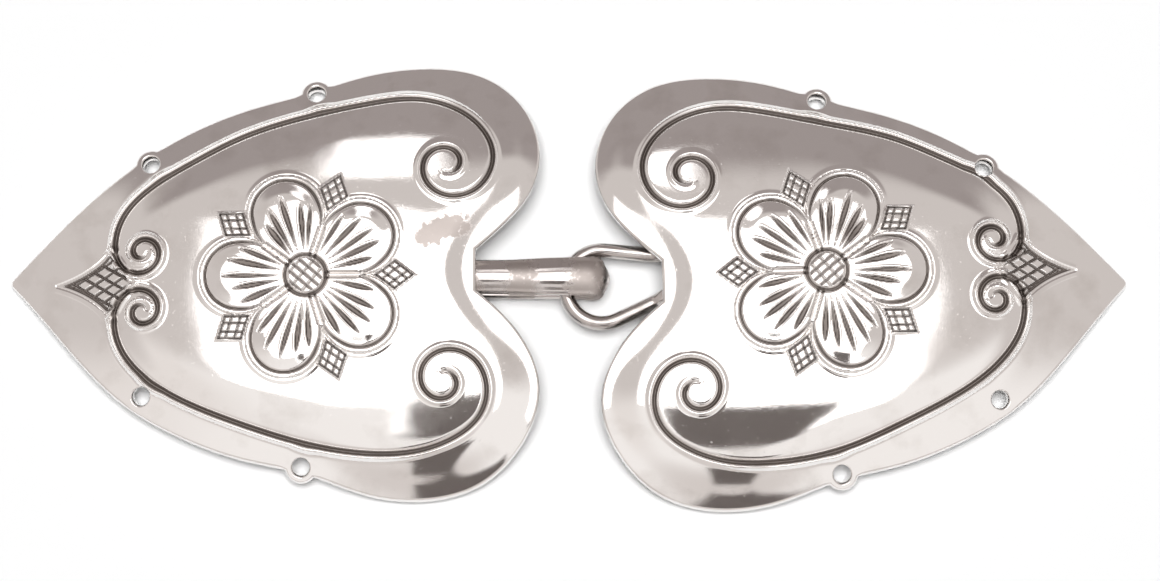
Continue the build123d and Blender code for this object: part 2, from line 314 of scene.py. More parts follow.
def scrollPaths(shift):
    # both scrolls, each from the volute beside the tip to the spiral on the lobe
    paths = []
    for i in (0, 1):
        border = []
        for row in plate["border"]:
            u, v = spot(row[0], row[1 + i])
            share = max(0, row[0] / plate["border"][0][0])
            border.append((u + share * shift[0], v + share * shift[1]))
        volute = spiral(scroll["volutes"][i]) + shift
        points = np.vstack([volute[::-1], border, spiral(scroll["spirals"][i])])
        paths.append(smoothPath(points, scroll["points"]))
    return paths


def kiteLoop():
    # a hollow-sided outer point and a straight-sided heel
    names = ("tip", "waist", "corner", "heel")
    tip, waist, corner, heel = [np.array(spot(*kite[name])) for name in names]
    t = np.linspace(0, 1, 12, endpoint=False)[:, None]
    bend = 2 * waist - (tip + corner) / 2
    side = (1 - t) ** 2 * tip + 2 * t * (1 - t) * bend + t ** 2 * corner
    upper = np.vstack([side, corner + (heel - corner) * t, heel[None]])
    return np.vstack([upper, (upper * (1, -1))[-2:0:-1]])


def hatchLines(across, pitch, width, start=0.5):
    # evenly spaced lines, from the distance across them
    return groove(((across / pitch + start) % 1 - 0.5) * pitch, width)


class Ornament:
    # what stands proud of the dome, and how deep each point lies in a cut, where polish leaves the dark

    def __init__(self, shift):
        self.shift = shift
        self.paths = scrollPaths(shift["scroll"])
        self.kite = kiteLoop()
        rng = np.random.default_rng(rosette["seed"])
        # each vein was cut by hand: a little off in angle, length and width
        self.slip = rng.normal(0, 1, (rosette["petals"], len(rosette["veins"]), 3))

    def at(self, u, v):
        rise = np.zeros(len(u))
        dark = np.zeros(len(u))
        for i, path in enumerate(self.paths):
            away, side, along = follow(path, u, v, scroll["reach"])
            s = away * side * (1, -1)[i]
            length = np.linalg.norm(np.diff(path, axis=0), axis=1).sum()
            ends = ease(np.minimum(along, length - along) / scroll["endTaper"])
            near = away < scroll["reach"]
            width = scroll["cutWidth"] * (scroll["endWidth"] + (1 - scroll["endWidth"]) * ends)
            cut = groove(s - scroll["cutOff"], width) * near
            curl = ease((along / length - scroll["spiralStart"]) / scroll["spiralFade"])
            low = 1 - scroll["spiralLow"] * curl
            ridge = groove(s - scroll["ridgeOff"], scroll["ridgeWidth"]) * near * low
            strength = scroll["endStrength"] + (1 - scroll["endStrength"]) * ends
            rise += (scroll["ridge"] * ridge - scroll["cut"] * cut) * strength
            dark = np.maximum(dark, cut * strength)
        for name, part in (("kite", self.kiteAt), ("rosette", self.rosetteAt)):
            more, deep = part(u - self.shift[name][0], v - self.shift[name][1])
            rise += more
            dark = np.maximum(dark, deep)
        return rise, dark

    def kiteAt(self, u, v):
        away = follow(self.kite, u, v, kite["reach"], closed=True)[0]
        depth = np.where(inside(self.kite, u, v), away, -away)
        within = ease((depth + 0.1) / 0.3)
        upper = np.array(spot(*kite["corner"]))
        way = np.array(spot(*kite["tip"])) - upper
        way = way / np.hypot(*way)
        lines = np.zeros(len(u))
        for sign in (1, -1):
            across = (u - upper[0]) * way[1] * sign - (v - sign * upper[1]) * way[0]
            lines = np.maximum(lines, hatchLines(across, kite["hatch"], kite["hatchWidth"]))
        # the contour runs along the two outer sides only
        contour = groove(depth - kite["contourIn"], kite["contourWidth"]) * ease((u - upper[0] + 0.2) / 0.6)
        cuts = np.maximum(lines * ease((depth - 0.1) / 0.3), contour) * within
        lip = groove(depth + kite["lipOut"], kite["lipWidth"]) * (away < kite["reach"] - 0.1)
        return kite["rise"] * within + kite["lip"] * lip - kite["cut"] * cuts, cuts

    def rosetteAt(self, u, v):
        # petals meet along straight flanks near the button and end in round arcs
        f = rosette
        r = np.hypot(u, v)
        half = 180 / f["petals"]
        angle = np.degrees(np.arctan2(v, u))
        index = np.floor((angle + half) / (2 * half)).astype(int)
        a = np.radians(angle - 2 * half * index)
        x, y = r * np.cos(a), r * np.sin(a)
        lobe = f["reach"] * sin(radians(half)) / (1 + sin(radians(half)))
        middle = f["reach"] - lobe
        edge = middle * cos(radians(half)) ** 2
        flank = x * sin(radians(half)) - np.abs(y) * cos(radians(half)) - f["gap"] / 2
        arc = lobe - np.hypot(x - middle, y)
        depth = np.where(x > edge, np.minimum(flank + f["gap"] / 2, arc), flank)
        petal = ease((depth + 0.06) / 0.2)
        outer = ease((r - f["outerStart"]) / f["outerFade"])
        line = f["rimStart"] + f["rimWidth"] * outer
        contour = groove(depth - line, f["contourWidth"] * (0.7 + 0.3 * outer)) * (0.5 + 0.5 * outer)
        pillow = f["swell"] * ease((depth - line) / f["swellWidth"]) * outer
        rise = petal * (f["rise"] + pillow)
        rise += f["lip"] * groove(depth + f["lipOff"], f["lipOff"]) * outer
        veins, lips = self.veinsAt(r, a, index % f["petals"])
        rise += f["veinLip"] * lips
        leafRise, leafDark = self.leafAt(r, angle, half, depth)
        rise = np.maximum(rise, leafRise)
        cuts = np.maximum(f["contour"] * contour, f["veinCut"] * veins)
        cuts = np.where(depth > 0, cuts, 0)
        dark = np.where(depth > -0.05, np.maximum(contour, veins), leafDark)
        button, top, ring, hatch = self.buttonAt(u, v, r)
        rise = rise * (1 - button) + button * top
        cuts = cuts * (1 - button) + np.maximum(f["ring"] * ring, f["buttonHatch"] * hatch)
        dark = dark * (1 - button) + np.maximum(ring, 0.8 * hatch)
        near = r < f["edge"]
        return (rise - cuts) * near, np.clip(dark, 0, 1) * near

    def veinsAt(self, r, a, petal):
        # strokes that swell and taper, with a small burr along either side
        f = rosette
        turnSlip, endSlip, widthSlip = f["veinSlips"]
        veins, lips = np.zeros(len(r)), np.zeros(len(r))
        for k, veinAngle in enumerate(f["veins"]):
            slip = self.slip[petal, k]
            turn = a - np.radians(veinAngle + turnSlip * slip[:, 0])
            run, off = r * np.cos(turn), np.abs(r * np.sin(turn))
            end = f["veinEnd"][k] + endSlip * slip[:, 1]
            share = np.clip((run - f["veinStart"]) / (end - f["veinStart"]), 0, 1)
            swell = np.sin(pi * share ** 1.5) ** 0.7
            width = f["veinWidth"] * (1 + widthSlip * slip[:, 2]) * swell + 0.02
            vein = ease((width - off) / 0.16 + 0.3) * (swell > 0.02) * (0.35 + 0.65 * swell)
            veins = np.maximum(veins, vein)
            lips += groove(off - width - f["veinLipOff"], f["veinLipWidth"]) * swell
        return veins, lips

    def buttonAt(self, u, v, r):
        # the button's share and height, then its ring and slanting hatch as shares of a full cut
        f = rosette
        button = ease((f["buttonRadius"] + 0.08 - r) / 0.25)
        top = f["buttonRise"] + f["buttonSwell"] * (1 - (r / f["buttonRadius"]) ** 2)
        ring = groove(r - f["buttonRadius"] + f["ringIn"], f["ringWidth"])
        turn = radians(f["hatchTurn"])
        ways = (v * cos(turn) - u * sin(turn), u * cos(turn) + v * sin(turn))
        sets = [strength * hatchLines(across, pitch, width, start)
                for across, (pitch, width, start, strength) in zip(ways, f["hatching"])]
        return button, top, ring, np.maximum(*sets) * ease((f["hatchReach"] - r) / 0.2)

    def leafAt(self, r, angle, half, petalDepth):
        # hatched points between the petals, partly behind them
        f = rosette
        a = np.radians((angle % (2 * half)) - half)
        x, y = r * np.cos(a), r * np.sin(a)
        inner, mid, wide = f["leafInner"], f["leafMiddle"], f["leafWidth"] / 2
        sides = []
        for end, sign in ((inner, 1), (f["leafReach"], -1)):
            way = np.array((mid - end, wide))
            way = way / np.hypot(*way)
            sides.append(sign * ((x - end) * way[1] - np.abs(y) * way[0]))
        depth = np.minimum(np.minimum(*sides), -petalDepth)
        leaf = ease((depth + 0.08) / 0.2)
        lines = np.zeros(len(r))
        for sign in (1, -1):
            way = np.array((mid - f["leafReach"], sign * wide))
            way = way / np.hypot(*way)
            across = (x - f["leafReach"]) * way[1] - y * way[0]
            lines = np.maximum(lines, hatchLines(across, f["leafHatch"], f["leafLine"]))
        inset = depth - f["leafContourIn"]
        cuts = np.maximum(0.85 * lines * ease(inset / 0.15), groove(inset, f["leafContour"])) * leaf
        return f["leafRise"] * leaf - f["leafCut"] * cuts, cuts

    def busy(self, u, v):
        # where the mesh has to be fine
        aroundRosette, aroundScroll, aroundKite = 0.7, 1.25, 0.8
        middle = self.shift["rosette"]
        near = np.hypot(u - middle[0], v - middle[1]) < rosette["leafReach"] + aroundRosette
        for path in self.paths:
            near |= follow(path, u, v, aroundScroll)[0] < aroundScroll
        loop = self.kite + self.shift["kite"]
        near |= follow(loop, u, v, aroundKite, closed=True)[0] < aroundKite
        return near | inside(loop, u, v)


def newVerts(made):
    return [item for item in made if isinstance(item, bmesh.types.BMVert)]


def placed(name, data):
    obj = bpy.data.objects.new(name, data)
    bpy.context.scene.collection.objects.link(obj)
    return obj


def meshObject(name, bm):
    bmesh.ops.recalc_face_normals(bm, faces=bm.faces)
    mesh = bpy.data.meshes.new(name)
    bm.to_mesh(mesh)
    bm.free()
    return placed(name, mesh)


def turned(bm, profile, centre, steps):
    # a closed solid turned from a profile of (radius, height) that starts and ends on the axis
    made = [bm.verts.new((centre[0] + r, centre[1], z)) for r, z in profile]
    edges = [bm.edges.new(pair) for pair in zip(made, made[1:])]
    bmesh.ops.spin(bm, geom=made + edges, cent=(*centre, 0), axis=(0, 0, 1), dvec=(0, 0, 0),
                   angle=2 * pi, steps=steps, use_merge=True, use_duplicate=False)


def flatHeart():
    # the flat blank: outline prism with rounded rims, lugs added, holes taken away
    wall, rim, sliver = plate["wall"], plate["rimRounding"], plate["sliver"]
    bm = bmesh.new()
    face = bm.faces.new([bm.verts.new((u, v, -wall)) for u, v in heartLoop()])
    up = bmesh.ops.extrude_face_region(bm, geom=[face])["geom"]
    bmesh.ops.translate(bm, verts=newVerts(up), vec=(0, 0, wall))
    rims = [e for e in bm.edges if abs(e.verts[0].co.z - e.verts[1].co.z) < 0.01]
    bmesh.ops.bevel(bm, geom=rims, affect="EDGES", offset=rim, segments=3, profile=0.5, material=-1)
    bmesh.ops.remove_doubles(bm, verts=bm.verts, dist=sliver)
    blank = meshObject("blank", bm)
    # the lugs' rims are rounded in two facets
    c = rim * (1 - cos(radians(45)))
    r = plate["lugRadius"]
    lugs = bmesh.new()
    for lug in plate["lugs"]:
        turned(lugs, [(0, -wall), (r - rim, -wall), (r - c, c - wall), (r, rim - wall), (r, -rim),
                      (r - c, -c), (r - rim, 0), (0, 0)], spot(*lug), plate["lugSides"])
    bmesh.ops.remove_doubles(lugs, verts=lugs.verts, dist=sliver)
    # each hole opens a little at both ends, where thread has worn it
    holes = bmesh.new()
    h = plate["holeRadius"]
    wide = h + plate["countersink"]
    for lug in plate["lugs"]:
        turned(holes, [(0, -wall - 1), (wide, -wall - 0.1), (h, 0.15 - wall), (h, -0.22), (h + 0.05, -0.08),
                       (wide, 0.03), (wide, 1), (0, 1)], spot(*lug), plate["holeSides"])
    bmesh.ops.remove_doubles(holes, verts=holes.verts, dist=sliver)
    return blank, meshObject("lugs", lugs), meshObject("holes", holes)


def combine(obj, other, operation):
    # the object joined with, cut by or kept inside another one, which is used up
    step = obj.modifiers.new(operation, "BOOLEAN")
    step.operation = operation
    step.solver = "MANIFOLD"
    step.object = other
    bpy.context.view_layer.update()
    made = bpy.data.meshes.new_from_object(obj.evaluated_get(bpy.context.evaluated_depsgraph_get()))
    obj.modifiers.clear()
    obj.data = made
    bpy.data.objects.remove(other)
    return obj


def grid(ornament):
    # a slab of square cells, finer on top, finest where there is ornament, just thinner than the blank
    cell, wall, inset = plate["cell"], plate["wall"], plate["inset"]
    columns = round((plate["tipReach"] + plate["lobeReach"] + 2) / cell)
    rows = round((2 * plate["halfWidth"] + 4) / cell)
    bm = bmesh.new()
    bmesh.ops.create_grid(bm, x_segments=columns, y_segments=rows, size=0.5)
    bmesh.ops.scale(bm, verts=bm.verts, vec=(columns * cell, rows * cell, 1))
    middle = (plate["tipReach"] - plate["lobeReach"]) / 2
    bmesh.ops.translate(bm, verts=bm.verts, vec=(middle, 0, inset - wall))
    up = bmesh.ops.extrude_face_region(bm, geom=bm.faces[:])["geom"]
    bmesh.ops.translate(bm, verts=newVerts(up), vec=(0, 0, wall - 2 * inset))

    def topFaces():
        return [f for f in bm.faces if all(vert.co.z > -wall / 2 for vert in f.verts)]

    edges = list({e for f in topFaces() for e in f.edges})
    bmesh.ops.subdivide_edges(bm, edges=edges, cuts=1, use_grid_fill=True)
    faces = topFaces()
    middles = np.array([f.calc_center_median()[:2] for f in faces])
    busy = ornament.busy(middles[:, 0], middles[:, 1])
    edges = list({e for f, b in zip(faces, busy) if b for e in f.edges})
    bmesh.ops.subdivide_edges(bm, edges=edges, cuts=2, use_grid_fill=True)
    return meshObject("grid", bm)


# a patch of painted shade beside the left heart's notch, which is also made rougher: where its middle is in
# plan, its half sizes, how far it slants, and how strong it is
paintedShadeSpot = {"u": -13.6, "v": 4.6, "halfLength": 3.4, "halfWidth": 1.9, "slant": 0.3, "strength": 0.8}


def setLayer(mesh, name, values):
    mesh.attributes.new(name, "FLOAT", "POINT").data.foreach_set("value", values.astype(np.float32))


def smoothShade(mesh):
    mesh.polygons.foreach_set("use_smooth", np.ones(len(mesh.polygons), bool))
    mesh.update()


def heartMesh(name, shift, place, mirroredWithShade):
    # one heart on the ornament's fine grid, bent over the dome; the one with the painted shade is mirrored
    ornament = Ornament(shift)
    blank, lugs, holes = flatHeart()
    blank = combine(combine(blank, lugs, "UNION"), holes, "DIFFERENCE")
    obj = combine(grid(ornament), blank, "INTERSECT")
    obj.name = name
    mesh = obj.data
    mesh.name = name
    # slivers that the cuts left are closed up
    bm = bmesh.new()
    bm.from_mesh(mesh)
    bmesh.ops.dissolve_degenerate(bm, dist=plate["sliver"], edges=bm.edges[:])
    bm.to_mesh(mesh)
    bm.free()
    co = np.zeros(len(mesh.vertices) * 3)
    mesh.vertices.foreach_get("co", co)
    u, v, z = co.reshape(-1, 3).T.copy()
    top = z > -1.5 * plate["inset"]
    # holes stand square to the dome, so their rims move apart
    du, dv = np.zeros(len(u)), np.zeros(len(u))
    for lug in plate["lugs"]:
        u0, v0 = spot(*lug)
        end = plate["holeRadius"] + plate["leanReach"]
        lean = ease((end - np.hypot(u - u0, v - v0)) / plate["leanFade"]) * (z + plate["wall"] / 2)
        slopeU, slopeV = dome.slope(u0, v0)
        du += lean * slopeU
        dv += lean * slopeV
    height = dome.height(u, v)
    here, dark = ornament.at(u, v)
    here = np.where(top, here, 0)
    # the slopes that the exact normals need, from heights a small step aside
    step = 0.02
    slopes = []
    for a, b in ((step, 0), (0, step)):
        beside = np.where(top, ornament.at(u + a, v + b)[0], 0) + dome.height(u + a, v + b)
        slopes.append((beside - height - here) / step)
    normals = np.stack([-slopes[0], -slopes[1], np.ones(len(u))], axis=1)
    normals /= np.linalg.norm(normals, axis=1)[:, None]
    co = np.stack([u + du, v + dv, height + here + z], axis=1) * mm
    matrix = place @ Matrix.Scale(-1 if mirroredWithShade else 1, 4, (1, 0, 0))
    turn = np.array(matrix.to_3x3())
    co = co @ turn.T + np.array(matrix.translation)
    mesh.vertices.foreach_set("co", co.ravel())
    if mirroredWithShade:
        mesh.flip_normals()
    # painted shade: a darker, rougher patch beside the notch, on the left heart only
    across = v - paintedShadeSpot["v"] + paintedShadeSpot["slant"] * (u - paintedShadeSpot["u"])
    away = np.hypot((u - paintedShadeSpot["u"]) / paintedShadeSpot["halfLength"], across / paintedShadeSpot["halfWidth"])
    patch = ease(1.35 - away) * paintedShadeSpot["strength"]
    setLayer(mesh, "sunk", np.where(top, dark, 0))
    setLayer(mesh, "paintedShade", np.where(top, patch * mirroredWithShade, 0))
    smoothShade(mesh)
    # exact normals for the faces of the top, left as they are elsewhere
    corners = np.zeros(len(mesh.loops), int)
    mesh.loops.foreach_get("vertex_index", corners)
    onTop = np.zeros(len(mesh.loops), bool)
    for poly in mesh.polygons:
        loops = slice(poly.loop_start, poly.loop_start + poly.loop_total)
        onTop[loops] = top[corners[loops]].all()
    custom = np.where(onTop[:, None], (normals @ turn.T)[corners], 0)
    mesh.normals_split_custom_set(custom.tolist())
    print(name, "triangles", sum(p.loop_total - 2 for p in mesh.polygons))
    return obj


stand = plate["lobeGap"] / 2 + plate["lobeReach"]
# the two hearts stand where the CAD's do: their box is centred and their lowest rim is on the ground
home = Vector((0.004947, -0.039246, 0.084678))
leftPlace = Matrix.Translation((home + Vector((-stand, plate["rightDrop"] / 2, 0))) * mm)
rightPlace = (Matrix.Translation((home + Vector((stand, -plate["rightDrop"] / 2, 0))) * mm)
              @ Matrix.Rotation(radians(plate["rightTurn"]), 4, "Z"))
leftHeart = heartMesh("left_heart_plate", leftShift, leftPlace, True)
rightHeart = heartMesh("right_heart_plate", rightShift, rightPlace, False)


# hook and eye

fastening = {
    # reach, foot and tuck run from the notch to the fold, to the strap's foot and to the tongue's end
    "reach": 12.9, "foot": 4.2, "tuck": 1.5, "hookV": 0.3,
    "strapWidth": 3.6, "strapThickness": 0.9, "crown": 0.44, "corner": 0.7,
    # the strap starts this wide, narrows and then widens to its fold; the tongue tapers
    "rootWidth": 3.5, "waistIn": 0.3, "foldOut": 0.35, "tongueTaper": 0.1,
    # the strap is painted darker and made rougher, as painted shade, except at two glints, each so far
    # beyond the notch and of this half length
    "glints": [(1.7, 1.2), (7.4, 1.5)], "dull": 0.75,
    # the eye: its legs' leans in degrees, and how steeply its feet climb and how deep they are sunk
    "wire": 1.4, "wireSides": 24, "play": 0.2, "eyeReach": 10.1, "eyeRadius": 3.6, "eyeV": 0.8,
    "upperLean": 7, "lowerLean": 24, "eyeTurn": 3.5, "bend": 0.6, "footClimb": 40, "footDepth": 1.0,
}
notchU = plate["notch"][0] * plate["lobeReach"]
notchV = (plate["notch"][1] + plate["notch"][2]) / 2 * plate["halfWidth"]


def domeHeight(u, v):
    return float(dome.height(np.array([u]), np.array([v]))[0])


strapTop = domeHeight(notchU, notchV) - plate["wall"]
wireHeight = strapTop - fastening["strapThickness"] - fastening["play"] - fastening["wire"] / 2
tongueTop = wireHeight - fastening["wire"] / 2 - fastening["play"]


def sweepSection(name, section, stations):
    # draws a closed section along stations, each a matrix, and caps both ends
    bm = bmesh.new()
    ring = [bm.verts.new(stations[0] @ Vector(p)) for p in section]
    edges = [bm.edges.new((ring[i], ring[(i + 1) % len(ring)])) for i in range(len(ring))]
    bm.faces.new(ring)
    last = stations[0]
    for station in stations[1:]:
        made = bmesh.ops.extrude_edge_only(bm, edges=edges)["geom"]
        edges = [item for item in made if isinstance(item, bmesh.types.BMEdge)]
        bmesh.ops.transform(bm, matrix=station @ last.inverted(), verts=newVerts(made))
        last = station
    bmesh.ops.edgeloop_fill(bm, edges=edges)
    return meshObject(name, bm)


def strapSection(width, thickness, crown):
    # a strap with rounded edges and a domed face, as points across and up
    edgeDepth = 0.35 * thickness
    flat = width / 2 - edgeDepth
    shoulder = thickness / 2 - crown / 2
    points = []
    for k in range(17):
        t = k / 8 - 1
        points.append((flat * t, shoulder + crown * (1 - t * t), 0))
    edge = []
    for k in range(1, 8):
        angle = pi * k / 8
        y = shoulder * cos(angle) if k < 4 else thickness / 2 * cos(angle)
        edge.append((flat + edgeDepth * sin(angle), y, 0))
    under = [(flat * s, -thickness / 2, 0) for s in (1, 0.5, 0, -0.5, -1)]
    otherEdge = [(-point[0], point[1], 0) for point in edge[::-1]]
    return points + edge + under + otherEdge


def strapStations():
    # along the strap from its foot, around the fold and back along the tongue
    f = fastening
    t = f["strapThickness"]
    end = notchU - f["reach"]
    bottom = tongueTop - t
    fold = (strapTop - bottom) / 2
    axis = (end + fold, bottom + fold)
    mid = fold - t / 2
    strapSteps, foldSteps, tongueSteps = 40, 12, 10
    path = []
    for k in range(strapSteps + 1):
        s = k / strapSteps
        path.append((notchU + f["foot"] + s * (axis[0] - notchU - f["foot"]), strapTop - t / 2, 0, s))
    for k in range(1, foldSteps + 1):
        angle = pi * k / foldSteps
        path.append((axis[0] - mid * sin(angle), axis[1] + mid * cos(angle), angle, 1))
    for k in range(1, tongueSteps + 1):
        s = k / tongueSteps
        path.append((axis[0] + s * (notchU + f["tuck"] - axis[0]), bottom + t / 2, pi, 1 + s))
    upright = Matrix(((0, 0, -1, 0), (1, 0, 0, 0), (0, 1, 0, 0), (0, 0, 0, 1)))
    stations = []
    for x, z, angle, s in path:
        if s <= 1:
            waist = f["waistIn"] * sin(pi * min(1, s / 0.7))
            wide = f["rootWidth"] - waist + f["foldOut"] * ease(np.array((s - 0.5) / 0.45))
        else:
            wide = f["strapWidth"] - f["tongueTaper"] * (s - 1)
        # the fold's corners are rounded in plan
        inward = max(0, f["corner"] - fold * (1 - sin(angle)) if 0 < angle < pi else 0)
        wide -= 2 * (f["corner"] - (f["corner"] ** 2 - inward ** 2) ** 0.5)
        turn = Matrix.Rotation(-angle, 4, "Y") @ upright
        scale = Matrix.Diagonal((wide / f["strapWidth"], 1, 1, 1))
        stations.append(Matrix.Translation((x, f["hookV"], z)) @ turn @ scale)
    return stations


def finishPiece(obj, place, mirrored):
    obj.data.transform(place @ Matrix.Diagonal((-mm if mirrored else mm, mm, mm, 1)))
    if mirrored:
        obj.data.flip_normals()
    smoothShade(obj.data)


section = strapSection(fastening["strapWidth"], fastening["strapThickness"], fastening["crown"])
strap = sweepSection("hook_strap", section, strapStations())
# painted shade along the strap, left off at the two glints
beyond = notchU - np.array([vert.co.x for vert in strap.data.vertices])
bright = sum(groove(beyond - off, halfLength) for off, halfLength in fastening["glints"])
setLayer(strap.data, "paintedShade", fastening["dull"] * (1 - bright))
finishPiece(strap, leftPlace, True)


def eyePath():
    # the loop's corners in order: foot, bend, two shoulders, bend, foot
    f = fastening
    outer = notchU - f["eyeReach"] + f["wire"] / 2
    middle = outer + f["eyeRadius"]
    ends, shoulders = [], []
    for sign, lean in ((1, f["upperLean"]), (-1, f["lowerLean"])):
        lean = radians(lean)
        reach = f["eyeRadius"] / cos(lean)
        bend = notchU - f["bend"]
        start = (bend, f["eyeV"] + sign * (reach - (bend - middle) * tan(lean)))
        # the foot climbs until it is sunk deep enough in the plate
        run, step = 0, 0.05
        climb = tan(radians(f["footClimb"]))
        while True:
            u = start[0] + run * cos(lean)
            v = start[1] - run * sign * sin(lean)
            z = wireHeight + run * climb
            if z > domeHeight(u, v) - f["footDepth"]:
                break
            run += step
        shoulderV = f["eyeV"] + sign * (reach + f["eyeRadius"] * tan(lean))
        shoulders.append(Vector((outer, shoulderV, wireHeight)))
        ends.append([Vector((*start, wireHeight)), Vector((u, v, z))])
    return [ends[0][1], ends[0][0], shoulders[0], shoulders[1], ends[1][0], ends[1][1]]


def roundedRoute(corners, radii, pieces):
    # straight runs with an arc at every corner
    route = [corners[0]]
    for before, corner, after, radius in zip(corners, corners[1:], corners[2:], radii):
        a, b = (before - corner).normalized(), (after - corner).normalized()
        half = a.angle(b) / 2
        cut = radius / tan(half)
        centre = corner + (a + b).normalized() * radius / sin(half)
        start, end = corner + a * cut - centre, corner + b * cut - centre
        sweep = start.angle(end)
        for k in range(pieces + 1):
            t = k / pieces
            route.append(centre + (start * sin((1 - t) * sweep) + end * sin(t * sweep)) / sin(sweep))
    return route + [corners[-1]]


def wireStations(route):
    # a frame square to the route at each of its points
    stations = []
    for i, point in enumerate(route):
        way = (route[min(i + 1, len(route) - 1)] - route[max(i - 1, 0)]).normalized()
        side = way.cross(Vector((0, 0, 1))).normalized()
        up = side.cross(way)
        turn = Matrix((side, up, -way)).transposed().to_4x4()
        stations.append(Matrix.Translation(point) @ turn)
    return stations


bendRadii = [fastening[key] for key in ("wire", "eyeTurn", "eyeTurn", "wire")]
route = roundedRoute(eyePath(), bendRadii, pieces=20)
wireRadius = fastening["wire"] / 2
around = [2 * pi * k / fastening["wireSides"] for k in range(fastening["wireSides"])]
circle = [(wireRadius * cos(angle), wireRadius * sin(angle), 0) for angle in around]
eyeWire = sweepSection("eye_wire", circle, wireStations(route))
finishPiece(eyeWire, rightPlace, False)
print("hook and eye ready")


# materials

def linear(hexColour):
    out = []
    for i in (1, 3, 5):
        c = int(hexColour[i:i + 2], 16) / 255
        out.append(c / 12.92 if c <= 0.04045 else ((c + 0.055) / 1.055) ** 2.4)
    return (*out, 1)


def addNode(tree, kind, settings=None, **links):
    # a node with its settings, sockets by name or number, and links as socketName=output
    node = tree.nodes.new(kind)
    for name, value in (settings or {}).items():
        if isinstance(name, int) or name in node.inputs:
            node.inputs[name].default_value = value
        else:
            setattr(node, name, value)
    for name, output in links.items():
        tree.links.new(output, node.inputs[name.replace("_", " ")])
    return node


def newMaterial(name):
    material = bpy.data.materials.new(name)
    material.use_nodes = True
    material.node_tree.nodes.clear()
    return material, material.node_tree


def noise(tree, place, perMetre, detail=2, stretch=None, turn=0):
    # cloudy pattern of a real size; stretched, it gives fine buffing lines
    if stretch:
        settings = {"Scale": stretch, "Rotation": (0, 0, turn)}
        place = addNode(tree, "ShaderNodeMapping", settings, Vector=place).outputs[0]
    settings = {"Scale": perMetre, "Detail": detail}
    return addNode(tree, "ShaderNodeTexNoise", settings, Vector=place).outputs["Fac"]


def spread(tree, source, low, high, start, end, smooth=False):
    # low to high becomes start to end, clamped
    settings = {"interpolation_type": "SMOOTHSTEP" if smooth else "LINEAR",
                "From Min": low, "From Max": high, "To Min": start, "To Max": end}
    return addNode(tree, "ShaderNodeMapRange", settings, Value=source).outputs["Result"]


def arithmetic(tree, operation, *values):
    node = addNode(tree, "ShaderNodeMath", {"operation": operation})
    for socket, value in zip(node.inputs, values):
        if isinstance(value, (int, float)):
            socket.default_value = value
        else:
            tree.links.new(value, socket)
    return node.outputs[0]


def blend(tree, amount, first, second):
    # two colours, each a hex colour or a socket
    node = addNode(tree, "ShaderNodeMix", {"data_type": "RGBA"})
    tree.links.new(amount, node.inputs[0])
    for socket, value in zip((node.inputs[6], node.inputs[7]), (first, second)):
        if isinstance(value, str):
            socket.default_value = linear(value)
        else:
            tree.links.new(value, socket)
    return node.outputs[2]


def bumps(tree, layers):
    # a chain of bumps, each a height and how many metres it stands for
    normal = None
    for height, distance in layers:
        node = addNode(tree, "ShaderNodeBump", {"Distance": distance}, Height=height)
        if normal:
            tree.links.new(normal, node.inputs["Normal"])
        normal = node.outputs["Normal"]
    return normal


# noise patterns per metre, the directions of the buffing lines, and the broken edge and colour of the
# painted shade
pattern = {"swim": 150, "clouds": 260, "grain": 5200, "hairs": 900, "crossed": 1100, "pits": 2600,
           "shadeEdge": (420, 2200), "hairTurn": 24, "crossedTurn": -12, "paintedShadeColour": "#b3aba7"}
# polish is the roughness where the buff reached, wear what dull clouds add, wave how deep it swims
castFinish = {"bright": "#efecea", "dull": "#e3dfdc", "oxide": "#77706c",
              "polish": 0.045, "wear": 0.05, "wave": 0.00005}
drawnFinish = {"bright": "#cdc7c4", "dull": "#aaa39f", "oxide": "#5a5452",
               "polish": 0.09, "wear": 0.22, "wave": 0.00015}


